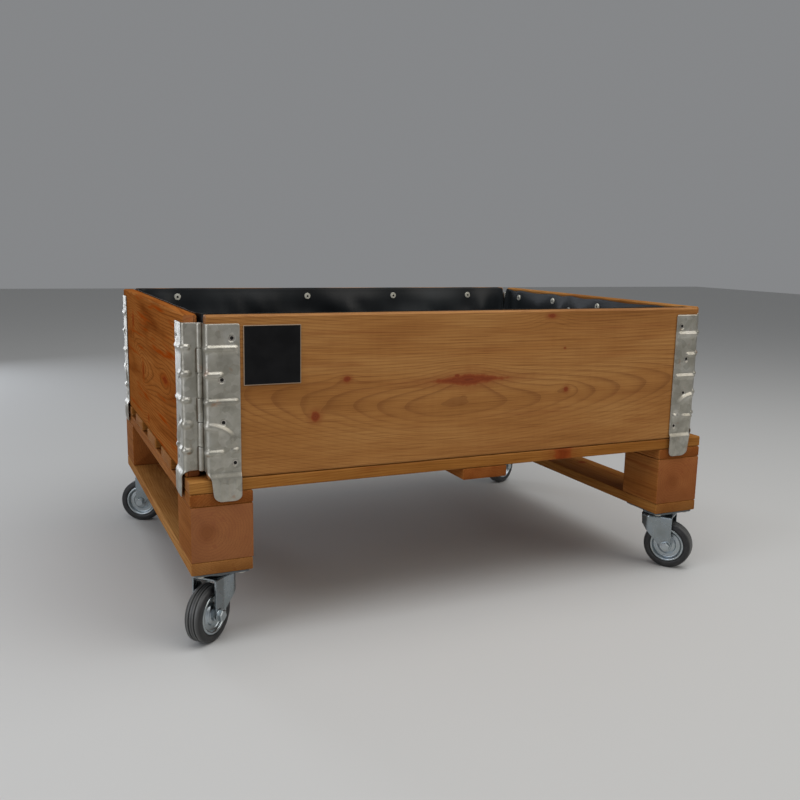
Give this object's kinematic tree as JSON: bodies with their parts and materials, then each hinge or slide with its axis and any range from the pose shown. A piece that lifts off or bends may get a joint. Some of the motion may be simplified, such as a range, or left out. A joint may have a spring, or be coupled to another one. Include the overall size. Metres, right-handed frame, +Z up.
{
  "type": "rolling planter",
  "caption": "Low wooden planter box with steel corner hinges and a dark liner, on a light pallet carried by swivel casters.",
  "frame": {"origin": "on the floor, under the middle of the pallet and of the whole part at rest", "axes": "+X along the long side, to the right seen from the front; +Y to the rear; +Z up"},
  "size_m": [0.8314, 0.617, 0.4216],
  "materials": {
    "frame_wood": "oiled larch boards, honey brown, knots and open grain",
    "pallet_wood": "sawn softwood, lighter tan, rounded edges",
    "galvanised": "hot-dip galvanised sheet with a soft mottled spangle",
    "zinc_plate": "bright zinc-plated pressed steel",
    "rubber": "moulded black rubber, satin",
    "membrane": "black rubber membrane with a soft sheen",
    "label_black": "plain black plate, no marking"
  },
  "bodies": {
    "pallet": {"deck_board_1": "pallet_wood", "deck_board_2": "pallet_wood", "deck_board_3": "pallet_wood", "deck_board_4": "pallet_wood", "deck_board_5": "pallet_wood", "stringer_left": "pallet_wood", "stringer_middle": "pallet_wood", "stringer_right": "pallet_wood", "block_front_left": "pallet_wood", "block_front_right": "pallet_wood", "block_rear_left": "pallet_wood", "block_rear_right": "pallet_wood", "skid_left": "pallet_wood", "skid_right": "pallet_wood", "caster_plate_front_left": "zinc_plate", "swivel_race_front_left": "zinc_plate", "kingpin_front_left": "zinc_plate", "caster_plate_front_right": "zinc_plate", "swivel_race_front_right": "zinc_plate", "kingpin_front_right": "zinc_plate", "caster_plate_rear_left": "zinc_plate", "swivel_race_rear_left": "zinc_plate", "kingpin_rear_left": "zinc_plate", "caster_plate_rear_right": "zinc_plate", "swivel_race_rear_right": "zinc_plate", "kingpin_rear_right": "zinc_plate"},
    "planter_frame": {"frame_board_front": "frame_wood", "frame_board_rear": "frame_wood", "frame_board_left": "frame_wood", "frame_board_right": "frame_wood", "hinge_leaf_front_left_long": "galvanised", "hinge_leaf_front_left_side": "galvanised", "hinge_pin_front_left": "galvanised", "hinge_leaf_front_right_long": "galvanised", "hinge_leaf_front_right_side": "galvanised", "hinge_pin_front_right": "galvanised", "hinge_leaf_rear_left_long": "galvanised", "hinge_leaf_rear_left_side": "galvanised", "hinge_pin_rear_left": "galvanised", "hinge_leaf_rear_right_long": "galvanised", "hinge_leaf_rear_right_side": "galvanised", "hinge_pin_rear_right": "galvanised", "liner": "membrane", "label_plate": "label_black"},
    "fork_front_left": {"fork_front_left": "zinc_plate", "axle_front_left": "zinc_plate"},
    "wheel_front_left": {"rim_front_left": "zinc_plate", "tyre_front_left": "rubber"},
    "fork_front_right": {"fork_front_right": "zinc_plate", "axle_front_right": "zinc_plate"},
    "wheel_front_right": {"rim_front_right": "zinc_plate", "tyre_front_right": "rubber"},
    "fork_rear_left": {"fork_rear_left": "zinc_plate", "axle_rear_left": "zinc_plate"},
    "wheel_rear_left": {"rim_rear_left": "zinc_plate", "tyre_rear_left": "rubber"},
    "fork_rear_right": {"fork_rear_right": "zinc_plate", "axle_rear_right": "zinc_plate"},
    "wheel_rear_right": {"rim_rear_right": "zinc_plate", "tyre_rear_right": "rubber"}
  },
  "joints": [
    {"name": "frame_lift", "type": "slide", "parent": "pallet", "child": "planter_frame", "axis": [0, 0, 1], "range_m": [0, 0.25]},
    {"name": "swivel_front_left", "type": "hinge", "parent": "pallet", "child": "fork_front_left", "pos_m": [-0.361, -0.26, 0.0912], "axis": [0, 0, 1], "continuous": true},
    {"name": "roll_front_left", "type": "hinge", "parent": "fork_front_left", "child": "wheel_front_left", "pos_m": [-0.37539, -0.27389, 0.0375], "axis": [0.6947, -0.7193, 0], "continuous": true},
    {"name": "swivel_front_right", "type": "hinge", "parent": "pallet", "child": "fork_front_right", "pos_m": [0.361, -0.26, 0.0912], "axis": [0, 0, 1], "continuous": true},
    {"name": "roll_front_right", "type": "hinge", "parent": "fork_front_right", "child": "wheel_front_right", "pos_m": [0.37276, -0.27618, 0.0375], "axis": [0.809, 0.5878, 0], "continuous": true},
    {"name": "swivel_rear_left", "type": "hinge", "parent": "pallet", "child": "fork_rear_left", "pos_m": [-0.361, 0.26, 0.0912], "axis": [0, 0, 1], "continuous": true},
    {"name": "roll_rear_left", "type": "hinge", "parent": "fork_rear_left", "child": "wheel_rear_left", "pos_m": [-0.37866, 0.26939, 0.0375], "axis": [-0.4695, -0.8829, 0], "continuous": true},
    {"name": "swivel_rear_right", "type": "hinge", "parent": "pallet", "child": "fork_rear_right", "pos_m": [0.361, 0.26, 0.0912], "axis": [0, 0, 1], "continuous": true},
    {"name": "roll_rear_right", "type": "hinge", "parent": "fork_rear_right", "child": "wheel_rear_right", "pos_m": [0.37866, 0.26939, 0.0375], "axis": [-0.4695, 0.8829, 0], "continuous": true}
  ]
}
